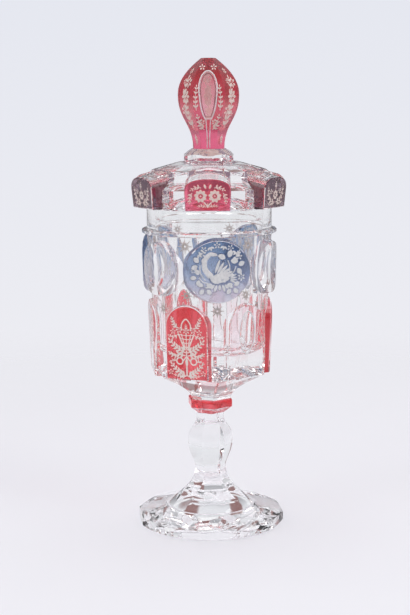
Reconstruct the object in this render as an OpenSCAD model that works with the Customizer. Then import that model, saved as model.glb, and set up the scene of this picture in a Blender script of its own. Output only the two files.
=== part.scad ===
// Lidded pokal goblet of cut glass, clear with ruby and blue stained panels.
// Millimetres, +Z up, standing face at Z 0, the first blue medallion faces -Y.

/* [Foot] */
// Radius of the twelve-sided foot plate, to its corners
foot_r = 48; // [46:0.5:50]
// Thickness of the foot plate at its corners
foot_edge = 5.6; // [5:0.2:6.4]
// Height of the foot up to the stem
foot_h = 34; // [32:0.5:36]
// Radius of the dome where it stands on the plate
dome_r = 29; // [27:0.5:31]
// Height of the plate where the dome starts
dome_z = 10; // [9:0.25:11]
// Radius of the ball that hollows the scoops of the plate
scoop_r = 20; // [18:0.5:22]
// Depth of these scoops
scoop_depth = 1.3; // [0.8:0.1:1.5]
// Bevel round the lower edge of the plate
foot_bevel = 0.8; // [0.4:0.1:1.2]

/* [Stem] */
// Height of the stem from the foot to the collar
stem_h = 38.5; // [36:0.5:41]
// Corner radius of the stem where it meets the foot
stem_low_r = 10; // [9:0.25:11]
// Corner radius at the widest part of the knop
knop_r = 14.8; // [13.5:0.1:16]
// Corner radius of the neck over the knop
stem_neck_r = 9.2; // [8.4:0.1:10]
// Height of the collar between the stem and the bowl
collar_h = 9.5; // [8.5:0.25:10.5]
// Corner radius of the collar
collar_r = 15.4; // [14.6:0.1:16.2]

/* [Bowl] */
// Height of the bowl from the collar to its rim
bowl_h = 125; // [121:1:129]
// Height of the funnel under the lower row of panels
funnel_h = 18; // [16:0.5:20]
// Radius of the round wall behind the medallions
wall_r = 40.6; // [40:0.1:41.4]
// Radius of the rim band
rim_r = 40; // [39.4:0.1:40.6]
// Height of the rim band
rim_h = 14; // [12:0.5:16]
// Radius of the ring under the rim band
ring_r = 43.2; // [42.4:0.1:44]
// Height of the ring
ring_h = 2.4; // [1.6:0.2:3.2]
// Radius of the mouth
mouth_r = 35.4; // [34.6:0.1:36]
// Radius of the inside just over its floor
inside_r = 31; // [29.5:0.25:32]
// Height of the floor of the inside over the collar
floor_h = 32; // [29:0.5:35]
// Rounding between the floor and the wall of the inside
floor_round = 9; // [7:0.5:11]

/* [Lower row of arches] */
// Distance of the ground facet from the axis, at its lower end
arch_ground = 33; // [32.4:0.1:33.8]
// Lean of the ground facet, in degrees
ground_lean = 4.3; // [3.9:0.1:4.7]
// Distance of the panel face from the axis, at its lower end
arch_face = 37.3; // [36.6:0.1:38]
// Lean of the panel face, in degrees
face_lean = 2.5; // [2.2:0.1:3]
// Half width of the panel face
arch_half = 13.8; // [13.2:0.1:14.4]
// Height of the medallion centres over the tops of the arches
arch_drop = 22.1; // [21:0.1:24]
// Slope of the sides of the panel, widening towards the ground
arch_draft = 0.28; // [0.2:0.02:0.36]

/* [Upper row of medallions] */
// Distance of the ground facet from the axis
round_ground = 36.8; // [36.4:0.1:37.4]
// Radius of the outer face of the medallions
round_face = 43; // [42.4:0.1:43.8]
// Lean of this face, in degrees
round_lean = 1; // [0.6:0.1:1.4]
// Radius of a blue medallion at its face
blue_r = 18.9; // [18.2:0.1:19.6]
// Radius of a clear round at its face
clear_r = 16; // [15:0.1:17]
// Depth of the hollow ground into a clear round
hollow_depth = 1.8; // [1:0.1:2.2]
// Radius of the ball that hollows a clear round
hollow_r = 46; // [42:1:50]
// Height of their centres below the ring
round_drop = 21; // [20.4:0.1:22]
// Slope of their sides, widening towards the ground
round_draft = 0.24; // [0.18:0.02:0.28]
// Angle from the middle of a blue medallion to its joint with a clear round, in degrees
round_part = 31.4; // [30.8:0.1:32]

/* [Lid] */
// Turn of the lid in its seat, in degrees
lid_turn = -8.5; // [-30:0.5:30]
// Height of the lid from the rim to the collar of the finial
lid_h = 28.5; // [27:0.5:30]
// Distance of the rim facets from the axis
lid_rim = 40.6; // [40.2:0.1:41.4]
// Height of the rim facets
lid_rim_h = 12; // [11:0.25:13]
// Distance of the panel faces from the axis, at their lower end
lid_face = 47.2; // [46.4:0.1:48]
// Lean of the panel faces, in degrees
lid_lean = 5.2; // [4:0.2:6]
// Half width of the panel faces, at the foot of their arched head
lid_half = 14.2; // [13.6:0.1:14.8]
// Height of the arched head of these panels
lid_head = 7.6; // [6.6:0.2:8.6]
// Slope of the roof, in degrees
roof_lean = 15; // [14:0.5:16]
// Depth of the ring that drops into the mouth
flange_h = 8; // [6:0.5:10]
// Thickness of this ring
flange_wall = 4.2; // [3.4:0.1:5]
// Clearance between the ring and the mouth, on the radius
flange_gap = 0.4; // [0.3:0.05:0.6]
// Depth of the hollow under the lid
lid_hollow = 9; // [7:0.5:11]

/* [Finial] */
// Height of the collar under the finial
seat_h = 8; // [7:0.25:9]
// Radius of that collar
seat_r = 16.8; // [16:0.1:17.6]
// Height of the finial
finial_h = 56.5; // [54:0.5:59]
// Corner radius of its neck
finial_neck_r = 9.9; // [9.2:0.1:10.4]
// Corner radius at its widest
finial_r = 19.4; // [18.6:0.1:20.2]
// Corner radius of its flat top
finial_top_r = 4.6; // [3.8:0.2:5.4]
// Depth of the almond cuts at the widest part
almond_depth = 1.2; // [0.8:0.1:1.5]

/* [Hidden] */
stem_z = foot_h;
collar_z = stem_z + stem_h;
bowl_z = collar_z + collar_h;
tier_z = bowl_z + funnel_h;
rim_z = bowl_z + bowl_h;
ring_z = rim_z - rim_h;
round_z = ring_z - ring_h - round_drop;
floor_z = bowl_z + floor_h;
cup_z = floor_z + floor_round + 1;
arch_h = round_z - arch_drop - tier_z;
seat_z = rim_z + lid_h;
finial_z = seat_z + seat_h;
// edge between the roof and the steep band over the rim facets
roof_r = lid_rim * 0.84;
roof_z = seat_z - (roof_r - seat_r * 0.98) * tan(roof_lean);
// distance of a face from the axis, for a six-sided section with corner radius 1
six = cos(30);
three = [0 : 2];
clear = [0.86, 0.90, 0.92, 0.35];
ruby = [0.72, 0.10, 0.16, 0.55];
blue = [0.20, 0.30, 0.52, 0.55];

$fn = 96;

// a smooth curve from a to d, drawn towards b and c
function along(a, b, c, d, t) =
    pow(1 - t, 3) * a + 3 * t * pow(1 - t, 2) * b + 3 * t * t * (1 - t) * c + t * t * t * d;
function curve(a, b, c, d, n = 8) = [for (i = [0 : n]) along(a, b, c, d, i / n)];

// round body from a list of [radius, height]
module turned(path) {
    rotate_extrude() polygon(concat([[0, path[0][1]]], path, [[0, path[len(path) - 1][1]]]));
}

// six-sided body, each face ground to the same outline, with a face at the angle given
module six_sided(path, face_at) {
    outline = concat(path, [for (i = [len(path) - 1 : -1 : 0]) [-path[i][0], path[i][1]]]);
    intersection_for (k = three)
        rotate([0, 0, face_at + 30 + 60 * k]) rotate([90, 0, 0])
            linear_extrude(height = 140, center = true) polygon(outline);
}

// moves a shape drawn in X and Y, with +Z outwards, onto a facet that leans out upwards
module on_facet(turn, distance, z, lean = 0) {
    rotate([0, 0, turn]) translate([0, -distance, z]) rotate([90 + lean, 0, 0]) children();
}

// everything outside a facet
module beyond(turn, distance, z, lean = 0) {
    on_facet(turn, distance, z, lean) translate([-80, -160, 0]) cube([160, 320, 80]);
}

// block with a round arched head: straight sides, all sides sloping, face at Z 0, going down in -Z
module arch_block(half, height, depth, draft) {
    wide = half + depth * draft;
    head = height - half;
    translate([0, head, -depth]) cylinder(r1 = wide, r2 = half, h = depth);
    translate([0, -3, 0]) rotate([-90, 0, 0]) linear_extrude(height = head + 3)
        polygon([[-half, 0], [half, 0], [wide, depth], [-wide, depth]]);
}

// foot: twelve-sided plate with round scoops, and the dome drawn up to the stem
module foot() {
    top_r = stem_low_r;
    plate_lean = atan2(dome_z - foot_edge, foot_r - dome_r - 0.8);
    scoop_at = (foot_r + dome_r + 1) / 2;
    scoop_z = foot_edge + (foot_r + 0.2 - scoop_at) * tan(plate_lean);
    color(clear) {
        difference() {
            intersection() {
                rotate([0, 0, 15]) cylinder(r = foot_r, h = dome_z + 1, $fn = 12);
                turned([[foot_r - foot_bevel - 0.6, 0], [foot_r + 0.2, foot_bevel + 0.2],
                    [foot_r + 0.2, foot_edge], [dome_r + 1, dome_z], [dome_r, dome_z + 0.8]]);
            }
            for (k = [0 : 5]) rotate([0, 0, 60 * k]) translate([0, -scoop_at, scoop_z])
                rotate([plate_lean, 0, 0]) translate([0, 0, scoop_r - scoop_depth]) sphere(r = scoop_r);
        }
        intersection() {
            six_sided(curve([dome_r * 0.965, dome_z - 1], [dome_r * 0.78, dome_z + 7],
                [top_r * six * 1.06, foot_h - 11], [top_r * six, foot_h], 10), 0);
            turned(curve([dome_r, dome_z - 1.5], [dome_r * 0.82, dome_z + 7],
                [top_r * 1.04, foot_h - 11], [top_r * 0.985, foot_h + 0.5], 7));
        }
    }
}

// stem: six-sided baluster, narrow at both ends
module stem() {
    low = stem_low_r * six;
    wide = knop_r * six;
    neck = stem_neck_r * six;
    color(clear) six_sided(concat(
        curve([low, stem_z], [low, stem_z + stem_h * 0.18], [wide, stem_z + stem_h * 0.27],
            [wide, stem_z + stem_h * 0.5], 10),
        curve([wide * 0.997, stem_z + stem_h * 0.52], [wide, stem_z + stem_h * 0.76],
            [neck, stem_z + stem_h * 0.74], [neck, stem_z + stem_h * 0.9], 8),
        [[neck, collar_z]]), 0);
}

// stem collar: six-sided ring, bevelled below
module stem_collar() {
    color(ruby) six_sided([[stem_neck_r * six + 0.3, collar_z], [collar_r * six, collar_z + collar_h * 0.47],
        [collar_r * six, collar_z + collar_h * 0.94], [collar_r * six - 0.6, bowl_z]], 30);
}

// solid outside of the bowl between the funnel and the ring, with both rows of ground facets
module bowl_wall(top = ring_z - ring_h + 0.6) {
    difference() {
        translate([0, 0, tier_z]) cylinder(r = wall_r, h = top - tier_z);
        for (k = [0 : 5]) {
            beyond(30 + 60 * k, arch_ground, tier_z, ground_lean);
            beyond(60 * k, round_ground, round_z);
        }
    }
}

// hollow of the bowl, flat at its floor
module bowl_inside() {
    turned(concat(
        [for (t = [0 : 15 : 90]) [inside_r - floor_round * (1 - sin(t)), floor_z + floor_round * (1 - cos(t))]],
        [[mouth_r - 1.2, ring_z - 3], [mouth_r, ring_z + 2], [mouth_r, rim_z - 0.4], [mouth_r + 0.4, rim_z],
        [mouth_r + 0.4, rim_z + 5]]));
}

// bowl base: six-sided funnel and the thick floor inside the lower row of panels
module bowl_base() {
    color(clear) difference() {
        union() {
            bowl_wall(cup_z);
            six_sided(concat(
                curve([collar_r * six - 1.2, bowl_z], [collar_r * six, bowl_z + funnel_h * 0.35],
                    [arch_ground * 0.6, bowl_z + funnel_h * 0.58], [arch_ground - 0.6, tier_z - 0.4], 8),
                [[arch_ground - 0.6, tier_z + 2]]), 30);
        }
        bowl_inside();
    }
}

// bowl: faceted wall, ring and rim band, open from end to end
module bowl() {
    color(clear) difference() {
        union() {
            difference() {
                bowl_wall();
                translate([0, 0, bowl_z]) cylinder(r = 2 * wall_r, h = cup_z - bowl_z);
            }
            turned([[rim_r - 2, ring_z - ring_h], [ring_r - 0.4, ring_z - ring_h],
                [ring_r, ring_z - ring_h + 0.4], [ring_r, ring_z - 0.5], [ring_r - 0.5, ring_z],
                [rim_r, ring_z + 0.6], [rim_r, rim_z - 0.5], [rim_r - 0.5, rim_z]]);
        }
        bowl_inside();
    }
}

// arched panel of the lower row, seated on the ground facets
module arch(turn) {
    difference() {
        on_facet(turn, arch_face, tier_z, face_lean) arch_block(arch_half, arch_h, 7, arch_draft);
        bowl_wall();
        translate([0, 0, tier_z - 10]) cylinder(r = 60, h = 10);
    }
}
module ruby_arch(i) { color(ruby) arch(-30 + 120 * i); }
module clear_arch(i) { color(clear) arch(30 + 120 * i); }

// round medallion of the upper row, seated on the ground facets between its neighbours,
// with its outer face on a round
module medallion(turn, r, half_turn) {
    back = round_ground - 7;
    depth = round_face - back;
    reach = 1.5 * blue_r;
    rise = reach * tan(round_lean);
    side = 3 * round_face * sin(half_turn);
    front = 3 * round_face * cos(half_turn);
    difference() {
        intersection() {
            translate([0, 0, round_z - reach])
                cylinder(r1 = round_face - rise, r2 = round_face + rise, h = 2 * reach);
            on_facet(turn, back, round_z) cylinder(r1 = r + depth * round_draft, r2 = r, h = depth + 1);
            rotate([0, 0, turn]) translate([0, 0, round_z - reach]) linear_extrude(height = 2 * reach)
                polygon([[0, 0], [-side, -front], [side, -front]]);
        }
        bowl_wall(rim_z);
    }
}
module blue_medallion(i) { color(blue) medallion(120 * i, blue_r, round_part - 0.1); }
module clear_medallion(i) {
    color(clear) difference() {
        medallion(60 + 120 * i, clear_r, 60 - round_part - 0.1);
        on_facet(60 + 120 * i, round_face + hollow_r - hollow_depth, round_z) sphere(r = hollow_r);
    }
}

// solid outside of the lid: rim facets, steep band and roof with its corners ground off
module lid_body() {
    rotate([0, 0, lid_turn]) intersection() {
        six_sided(concat(
            [[lid_rim - 0.5, rim_z], [lid_rim, rim_z + 0.5], [lid_rim, rim_z + lid_rim_h]],
            curve([lid_rim - 0.5, rim_z + lid_rim_h + 0.4], [lid_rim - 3, rim_z + lid_rim_h + 2],
                [roof_r + 1, roof_z - 5], [roof_r, roof_z], 5),
            [[seat_r * 0.98, seat_z]]), 0);
        six_sided([[lid_rim + 12, rim_z - 1], [lid_rim + 12, rim_z + lid_rim_h],
            [roof_r * 1.07, roof_z - 0.6], [seat_r, seat_z + 0.6]], 30);
    }
}

// lid cover: hollowed under the roof
module lid_cover() {
    open_r = mouth_r - flange_gap - flange_wall;
    ball = (open_r * open_r + lid_hollow * lid_hollow) / (2 * lid_hollow);
    color(clear) difference() {
        lid_body();
        intersection() {
            translate([0, 0, rim_z + lid_hollow - ball]) sphere(r = ball);
            translate([0, 0, rim_z - 1]) cylinder(r = open_r + 2, h = lid_hollow + 2);
        }
    }
}

// ring under the lid that keeps it on the mouth
module lid_flange() {
    out_r = mouth_r - flange_gap;
    color(clear) difference() {
        turned([[out_r - 0.6, rim_z - flange_h], [out_r, rim_z - flange_h + 0.6], [out_r, rim_z]]);
        translate([0, 0, rim_z - flange_h - 1]) cylinder(r = out_r - flange_wall, h = flange_h + 2);
    }
}

// arched block of the lid, standing out from the rim and the steep band, its face leaning out
module lid_panel(turn) {
    head = [for (t = [0 : 9 : 180])
        [lid_half * sign(cos(t)) * pow(abs(cos(t)), 0.8), lid_head * (pow(sin(t), 0.8) - 1)]];
    difference() {
        rotate([0, 0, lid_turn]) on_facet(turn, roof_r, roof_z - 0.5, roof_lean - 1)
            translate([0, 0, -2]) linear_extrude(height = 24)
                polygon(concat(head, [[1.2 - lid_half, -32], [lid_half - 1.2, -32]]));
        rotate([0, 0, lid_turn]) beyond(turn, lid_face, rim_z, lid_lean);
        lid_body();
        translate([0, 0, rim_z - 20]) cylinder(r = 70, h = 20.3);
    }
}
module lid_ruby_panel(i) { color(ruby) lid_panel(120 * i); }
module lid_blue_panel(i) { color(blue) lid_panel(60 + 120 * i); }

// ring under the finial, with six flats
module lid_collar() {
    color(clear) intersection() {
        turned([[seat_r * 0.9, seat_z], [seat_r, seat_z + seat_h * 0.2], [seat_r, seat_z + seat_h * 0.45],
            [seat_r * 0.8, seat_z + seat_h * 0.8], [finial_neck_r * 1.12, seat_z + seat_h]]);
        rotate([0, 0, lid_turn]) six_sided([[seat_r * 0.93, seat_z], [seat_r * 0.93, finial_z]], 30);
    }
}

// finial: six-sided pear with a flat top and almond cuts on every other face
module finial() {
    neck = finial_neck_r * six;
    wide = finial_r * six;
    top = finial_top_r * six;
    belly_z = finial_z + finial_h * 0.59;
    almond_r = finial_h * 0.666;
    ball = 13;
    color(ruby) rotate([0, 0, lid_turn]) difference() {
        six_sided(concat(
            curve([neck, finial_z], [neck, finial_z + finial_h * 0.28], [wide, finial_z + finial_h * 0.32],
                [wide, belly_z], 12),
            curve([wide * 0.9985, belly_z + finial_h * 0.02], [wide, belly_z + finial_h * 0.2],
                [top * 2.1, finial_z + finial_h * 0.93], [top, finial_z + finial_h], 10)), 0);
        for (k = three) rotate([0, 0, 120 * k]) intersection() {
            translate([0, -(wide - almond_depth - almond_r), belly_z - finial_h * 0.032]) rotate([0, 90, 0])
                rotate_extrude() translate([almond_r + ball, 0]) circle(r = ball);
            translate([-ball, -wide - ball, finial_z + finial_h * 0.33])
                cube([2 * ball, wide + ball - 6, finial_h]);
        }
    }
}

foot();
stem();
stem_collar();
bowl_base();
bowl();
for (i = three) {
    ruby_arch(i);
    clear_arch(i);
    blue_medallion(i);
    clear_medallion(i);
    lid_ruby_panel(i);
    lid_blue_panel(i);
}
lid_cover();
lid_flange();
lid_collar();
finial();
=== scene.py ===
"""Lidded pokal goblet of cut glass: clear body, ruby and blue stained panels, engraving and cut stars."""

import math

import bmesh
import bpy
from mathutils import Matrix, Vector
from mathutils.bvhtree import BVHTree


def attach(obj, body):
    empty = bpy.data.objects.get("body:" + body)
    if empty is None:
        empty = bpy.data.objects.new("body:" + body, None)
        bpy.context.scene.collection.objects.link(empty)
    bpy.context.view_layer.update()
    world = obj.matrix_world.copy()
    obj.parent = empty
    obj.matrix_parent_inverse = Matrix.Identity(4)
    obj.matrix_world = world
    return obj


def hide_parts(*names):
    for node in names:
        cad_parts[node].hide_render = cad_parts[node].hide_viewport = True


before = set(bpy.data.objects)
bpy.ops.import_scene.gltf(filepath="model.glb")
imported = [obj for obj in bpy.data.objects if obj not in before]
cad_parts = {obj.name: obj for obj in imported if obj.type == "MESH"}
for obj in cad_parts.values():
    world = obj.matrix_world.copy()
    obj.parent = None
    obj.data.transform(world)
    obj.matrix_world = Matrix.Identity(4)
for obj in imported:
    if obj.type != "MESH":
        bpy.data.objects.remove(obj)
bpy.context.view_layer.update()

MM = 0.001
THREE = (1, 2, 3)

# Pieces and places on the object, in millimetres and degrees

GOBLET = ["foot", "stem", "stem_collar", "bowl_base", "bowl"] + [
    f"{kind}_{i}" for kind in ("ruby_arch", "clear_arch", "blue_medallion", "clear_medallion") for i in THREE]
LID = ["lid_cover", "lid_flange", "lid_collar", "finial"] + [
    f"{kind}_{i}" for kind in ("lid_ruby_panel", "lid_blue_panel") for i in THREE]

# where the first panel of each kind faces, from -Y towards +X; the others follow at thirds of a turn
LID_TURN = -8.5
FIRST_TURN = {"ruby_arch": -30, "clear_arch": 30, "blue_medallion": 0, "clear_medallion": 60,
              "lid_ruby_panel": LID_TURN, "lid_blue_panel": LID_TURN + 60}
TURN = {f"{kind}_{i}": first + 120 * (i - 1) for kind, first in FIRST_TURN.items() for i in THREE}


def height(name, share=0.0):
    """Height of a place on a piece, to a hundredth: share 0 is its lower end, 1 its upper end."""
    levels = [vert.co.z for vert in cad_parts[name].data.vertices]
    low, high = min(levels), max(levels)
    return round((low + share * (high - low)) / MM, 2)


TIER_Z = height("ruby_arch_1")
ROUND_Z = height("blue_medallion_1", 0.5)
RIM_Z = height("bowl", 1.0)
FINIAL_Z = height("finial")
FINIAL_TOP = height("finial", 1.0)

# inside of the bowl: radius over the floor and at the mouth, rounding of the floor, bevel of the mouth
INSIDE_R, MOUTH_R, FLOOR_ROUND, MOUTH_BEVEL = 31.0, 35.4, 9.0, 0.4
# the bowl's own wall starts this far over the rounding, and the band under the rim is this high
WALL_START, RIM_BAND = 1.0, 14.0
FLOOR_Z = height("bowl") - FLOOR_ROUND - WALL_START
RING_Z = RIM_Z - RIM_BAND
# the inside widens by this step, from below the ring under the rim to over it
MOUTH_STEP, STEP_BELOW, STEP_ABOVE = 1.2, 3.0, 2.0

# pointed oval that a bulged wheel grinds in the clear arches: place of its middle, height, width and depth
OLIVE_Z, OLIVE_HIGH, OLIVE_WIDE, OLIVE_DEEP = 130.0, 27.0, 12.0, 2.4
# largest radius of that wheel, its length as a share of the oval, and where it is set against the glass
WHEEL_R = ((OLIVE_WIDE / 2) ** 2 + OLIVE_DEEP ** 2) / (2 * OLIVE_DEEP)
WHEEL_LONG, WHEEL_STEPS, WHEEL_SET = 1.2, 20, 8.0

# round groove that cuts the almond windows: its centre from the axis, its height, its ring and tube radius
ALMOND_AWAY, ALMOND_Z, ALMOND_RING, ALMOND_TUBE = -22.03, 275.03, 50.63, 13.0
# a point this near to the groove lies on it, in front of the axis; the neck of the finial ends at NECK_HIGH
GROOVE_NEAR, GROOVE_FRONT, NECK_HIGH, WINDOW_FRONT = 0.08, 5.0, 8.0, 8.0

# rows of six cut stars: radius, direction of the first one, height over the middle of the medallions
STAR_ROWS = ((5.0, 30, 15.2), (4.0, 30, -15.8), (4.4, 0, -25.2))


def outward(turn):
    """Unit vector that points away from the axis at this turn."""
    angle = math.radians(turn)
    return Vector((math.sin(angle), -math.cos(angle), 0.0))


def sideways(turn):
    """Unit vector to the right of someone who looks at the panel at this turn."""
    angle = math.radians(turn)
    return Vector((math.cos(angle), math.sin(angle), 0.0))


# Materials

NODE_STEP = 200
GLASS_IOR = 1.52

# a stain's depth: share of its cloudy patches, and what its slow change upwards runs between; on the blue
# medallions that change is painted lightening towards the bottom
PATCH_SHARE, RISE_START, RISE_END = 0.4, -0.2, 0.8


def new_material(name):
    """Material without nodes, and its tree."""
    material = bpy.data.materials.new(name)
    material.use_nodes = True
    material.node_tree.nodes.clear()
    return material, material.node_tree


def node(tree, kind, inputs=None, **settings):
    """New node to the right of the others. Each input takes a value, an output that feeds it,
    or a node, of which the first output in use feeds it."""
    made = tree.nodes.new(kind)
    made.location.x = NODE_STEP * len(tree.nodes)
    for key, value in settings.items():
        setattr(made, key, value)
    for socket, value in (inputs or {}).items():
        if isinstance(value, bpy.types.Node):
            value = next(output for output in value.outputs if output.enabled)
        if isinstance(value, bpy.types.NodeSocket):
            tree.links.new(value, made.inputs[socket])
        else:
            made.inputs[socket].default_value = value
    return made


def noise(tree, scale, detail, distortion=0.0):
    """Noise in the object's own coordinates, so that it stays put on the glass."""
    place = node(tree, "ShaderNodeTexCoord")
    return node(tree, "ShaderNodeTexNoise", {
        "Vector": place.outputs["Object"], "Scale": scale, "Detail": detail, "Distortion": distortion})


def ramp(tree, fac, stops):
    """Colour that runs through the stops, each a position and a colour."""
    made = node(tree, "ShaderNodeValToRGB", {"Fac": fac})
    elements = made.color_ramp.elements
    while len(elements) < len(stops):
        elements.new(0.5)
    for element, (position, colour) in zip(elements, stops):
        element.position = position
        element.color = (*colour, 1.0)
    return made


def bump(tree, strength, depth, scale, detail):
    """Normal of a surface with an uneven finish, its depth in millimetres."""
    return node(tree, "ShaderNodeBump", {
        "Strength": strength, "Distance": depth * MM, "Height": noise(tree, scale, detail)})


def stain_depth(tree, heights):
    """Runs from 0 to 1: cloudy patches, and between the two heights given also a slow change upwards."""
    patches = noise(tree, scale=55.0, detail=3.0, distortion=0.4)
    if not heights:
        return patches
    low, high = heights
    place = node(tree, "ShaderNodeTexCoord")
    split = node(tree, "ShaderNodeSeparateXYZ", {"Vector": place.outputs["Object"]})
    rise = node(tree, "ShaderNodeMapRange", {
        "Value": split.outputs["Z"], "From Min": low * MM, "From Max": high * MM,
        "To Min": RISE_START, "To Max": RISE_END})
    return node(tree, "ShaderNodeMath", {0: patches, 1: PATCH_SHARE, 2: rise}, operation="MULTIPLY_ADD")


def cut_glass(name, stops, lamp_tint, heights=None, see_through=1.0, roughness=0.0):
    """Polished glass. The stain varies a little, the polish leaves a faint wave,
    and lamps shine through with the tint given."""
    material, tree = new_material(name)
    stain = ramp(tree, stain_depth(tree, heights), stops)
    wave = bump(tree, strength=0.1, depth=0.4, scale=90.0, detail=1.0)
    glass = node(tree, "ShaderNodeBsdfPrincipled", {
        "Base Color": stain, "Normal": wave, "Transmission Weight": see_through, "Roughness": roughness,
        "IOR": GLASS_IOR})
    through = node(tree, "ShaderNodeBsdfTransparent", {"Color": (*lamp_tint, 1.0)})
    path = node(tree, "ShaderNodeLightPath")
    mix = node(tree, "ShaderNodeMixShader", {"Fac": path.outputs["Is Shadow Ray"], 1: glass, 2: through})
    node(tree, "ShaderNodeOutputMaterial", {"Surface": mix})
    return material


def patchy(dark, light):
    """Stops of a stain that has two shades in soft patches."""
    return [(0.3, dark), (0.7, light)]


clear_glass = cut_glass("clear_cut_glass", patchy((0.97, 0.98, 0.975), (0.99, 0.99, 0.99)),
                        (0.87, 0.88, 0.89))
window_glass = cut_glass("polished_window_glass", patchy((0.96, 0.94, 0.95), (0.99, 0.97, 0.98)),
                         (0.87, 0.88, 0.89), see_through=0.91)
ruby_glass = cut_glass("ruby_stained_glass", patchy((0.74, 0.012, 0.018), (0.92, 0.030, 0.042)),
                       (0.85, 0.3, 0.35), see_through=0.85, roughness=0.16)
ruby_side_glass = cut_glass("thin_ruby_glass", patchy((0.54, 0.035, 0.045), (0.66, 0.075, 0.09)),
                            (0.9, 0.45, 0.5), see_through=0.9, roughness=0.1)
crimson_glass = cut_glass("crimson_stained_glass", patchy((0.80, 0.020, 0.062), (0.93, 0.048, 0.115)),
                          (0.88, 0.35, 0.42), see_through=0.85, roughness=0.12)
violet_glass = cut_glass("violet_stained_glass", patchy((0.065, 0.028, 0.052), (0.16, 0.08, 0.11)),
                         (0.6, 0.55, 0.65), see_through=0.9, roughness=0.1)
pale_rose_glass = cut_glass("pale_rose_glass", patchy((0.88, 0.46, 0.52), (0.95, 0.62, 0.67)),
                            (0.95, 0.75, 0.78))
# these three change with the height: the stains run clear to blush and rose to deep ruby; the blue runs pale
# to deep blue, a real stain whose paler lower part is painted lightening where the floor shows through the
# medallion
blush_glass = cut_glass("blush_glass", [(0.2, (0.985, 0.975, 0.975)), (0.75, (0.985, 0.80, 0.84))],
                        (0.87, 0.82, 0.83), heights=(TIER_Z + 6.0, TIER_Z + 30.0))
rose_glass = cut_glass("rose_stained_glass", [(0.15, (0.88, 0.15, 0.28)), (0.5, (0.70, 0.12, 0.16)),
                                              (0.80, (0.43, 0.012, 0.022)), (1.0, (0.24, 0.004, 0.008))],
                       (0.9, 0.5, 0.55), heights=(FINIAL_Z + 0.5, FINIAL_TOP),
                       see_through=0.92, roughness=0.06)
# blue stain, paler towards the bottom: painted lightening that stands in for the pale floor seen through the
# lower medallion
blue_stain_and_painted_lightening = cut_glass("blue_stained_glass", [(0.1, (0.52, 0.50, 0.64)), (0.42, (0.17, 0.24, 0.42)),
                                              (0.85, (0.036, 0.085, 0.22))],
                       (0.5, 0.6, 0.8), heights=(ROUND_Z - 19.6, ROUND_Z + 19.4),
                       see_through=0.85, roughness=0.16)


def matt_cut(name, dark, light, alpha):
    """Matt finish, a little uneven, for the ground lines of the engraving wheel and also for painted
    highlight and painted shade lines.
    """
    material, tree = new_material(name)
    shade = ramp(tree, noise(tree, scale=700.0, detail=4.0), [(0.35, dark), (0.65, light)])
    grain = bump(tree, strength=0.3, depth=0.05, scale=4000.0, detail=2.0)
    matt = node(tree, "ShaderNodeBsdfPrincipled", {
        "Base Color": shade, "Normal": grain, "Roughness": 0.55, "Alpha": alpha})
    node(tree, "ShaderNodeOutputMaterial", {"Surface": matt})
    return material


# matt engraving for the bird and the neck lines; the same pale finish paints the highlights on the olive
# cuts' edges and the almond windows' rims
engraving_and_painted_highlight = matt_cut("wheel_engraving_and_painted_highlight", (0.82, 0.81, 0.82), (0.97, 0.96, 0.96), 0.85)
engraved_in_ruby = matt_cut("wheel_engraving_in_ruby", (0.92, 0.71, 0.64), (1.0, 0.88, 0.81), 0.85)
engraved_in_arch = matt_cut("wheel_engraving_in_arch", (0.97, 0.80, 0.74), (1.0, 0.96, 0.90), 0.94)
# painted shade: dark matt line inside the almond window's rim, where the real edge only looks dark by
# refraction
painted_shade_line = matt_cut("painted_window_shade_line", (0.13, 0.035, 0.045), (0.24, 0.08, 0.09), 0.85)
star_cut = matt_cut("cut_star_rays", (0.62, 0.54, 0.50), (0.78, 0.70, 0.66), 0.7)

# The fused glass of the goblet and of the lid

# points nearer than this are one, in metres
WELD = 2e-6
# faces that turn less than this are one, on a panel and on the fused glass
PANEL_FLAT, GLASS_FLAT = 0.3, 0.2

# bevels along the outlines of the panels, and the least turn of an edge that gets one
BEVEL, ARCH_BEVEL, BEVEL_TURN = 0.55, 1.0, 25

# how a face of a panel lies: the cosine between its normal and the direction that the panel faces
FRONT_LIE, BLUE_FRONT_LIE, EASED_LIE, SIDE_LIE, BACK_LIE = 0.93, 0.84, 0.8, 0.36, -0.25
# the same to the upright: top of a panel, underside of the collar, underside of the lid
TOP_LIE, COLLAR_UNDER_LIE, LID_UNDER_LIE = 0.5, -0.25, -0.1

# how far a piece is drawn on into its neighbour, and middle radius of the rings
OVERLAP, PANEL_OVERLAP, RING_MIDDLE = 0.5, 0.6, 33.0

# ends that are drawn on: the upper one or not, the pinch, and whether it is a ring
DRAWN_ENDS = {"stem": ((False, 0.9, False), (True, 0.88, False)), "bowl_base": ((False, 0.97, False),),
              "lid_collar": ((False, 0.97, False),), "finial": ((False, 0.97, False),),
              "bowl": ((False, 0.985, True),), "lid_flange": ((True, 0.995, True),)}

# edges that turn more than this stay crisp, by the piece or part that they lie on
CRISP = {"lid_cover": 6, "lid_collar": 20, "finial": 22, "foot": 10, "stem": 20, "bowl_inside": 40,
         "olive_cut": 40, "lid_inside": 30}
CRISP_ELSEWHERE, CRISP_SEAM = 18, 4

# the inside is cut this much wider than in the solids, so that no thin skin stays, and this far past the rim
SKIM, CUT_PAST = 0.06, 5.0

CUTTER_SIDES = 144
# rays that look for the glass start this far from the axis
RAY_START = 120.0


def placed(name, data):
    """New object in the scene."""
    made = bpy.data.objects.new(name, data)
    bpy.context.scene.collection.objects.link(made)
    return made


def object_of(bm, name, materials):
    """Object with the mesh that was built."""
    mesh = bpy.data.meshes.new(name)
    for material in materials:
        mesh.materials.append(material)
    bm.to_mesh(mesh)
    bm.free()
    return placed(name, mesh)


def welded_copy(name):
    """A copy of a CAD node's mesh, with its loose triangles merged."""
    bm = bmesh.new()
    bm.from_mesh(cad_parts[name].data)
    bmesh.ops.remove_doubles(bm, verts=bm.verts, dist=WELD)
    bm.normal_update()
    return bm


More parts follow.
